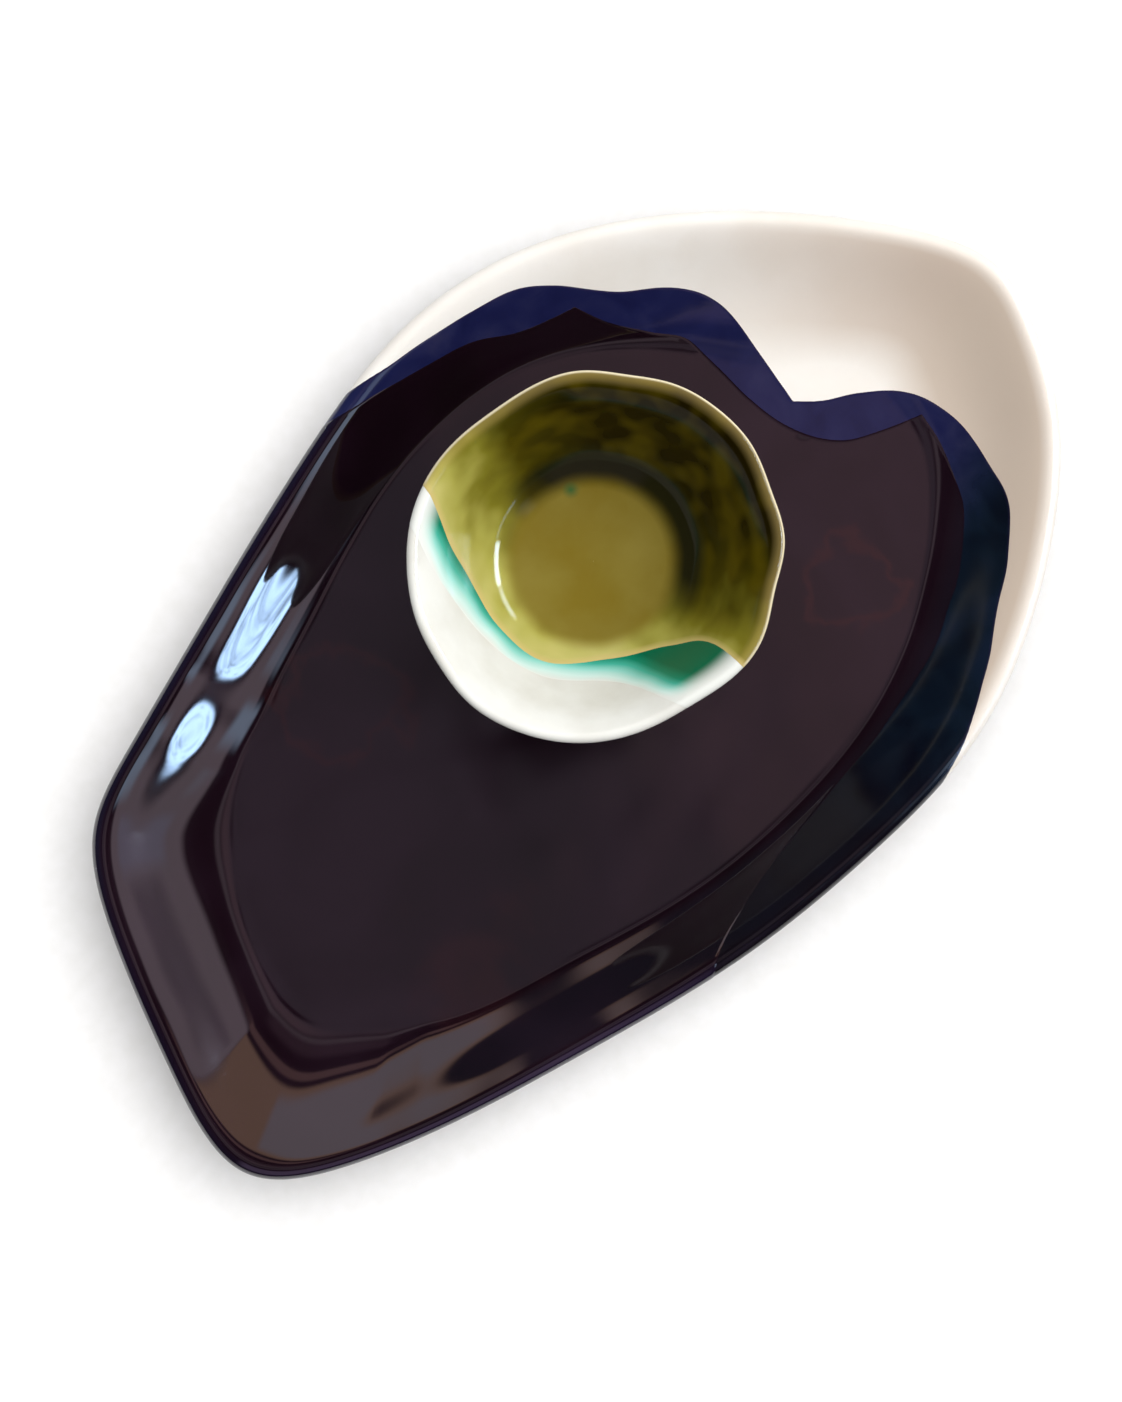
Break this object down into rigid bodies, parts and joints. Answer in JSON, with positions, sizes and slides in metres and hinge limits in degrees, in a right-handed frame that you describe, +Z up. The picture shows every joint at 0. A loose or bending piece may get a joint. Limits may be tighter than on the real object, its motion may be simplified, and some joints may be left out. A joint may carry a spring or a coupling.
{
  "type": "chip and dip platter",
  "caption": "Boat-shaped stoneware serving platter with a flat well and a low rounded rim, dip-glazed at one end, with a loose pinched dip bowl standing in the well.",
  "frame": {"origin": "on the table, under the middle of the platter's length and width", "axes": "+X along the platter from its broad, twice-dipped end to its narrow pale end, +Z up"},
  "size_m": [0.4051, 0.2426, 0.0609],
  "materials": {
    "stoneware": "bare, fine grit",
    "cream_glaze": "satin",
    "navy_glaze": "gloss",
    "aubergine_glaze": "high gloss",
    "white_clay": "bare, smooth",
    "white_glaze": "gloss",
    "teal_glaze": "gloss",
    "olive_glaze": "gloss"
  },
  "bodies": {
    "platter": {"platter_body": "stoneware", "platter_cream_glaze": "cream_glaze", "platter_navy_glaze": "navy_glaze", "platter_aubergine_glaze": "aubergine_glaze"},
    "bowl": {"bowl_body": "white_clay", "bowl_white_glaze": "white_glaze", "bowl_teal_glaze": "teal_glaze", "bowl_olive_glaze": "olive_glaze"}
  },
  "joints": [
    {"name": "bowl_lift", "type": "slide", "parent": "platter", "child": "bowl", "axis": [0, 0, 1], "range_m": [0, 0.12]}
  ]
}
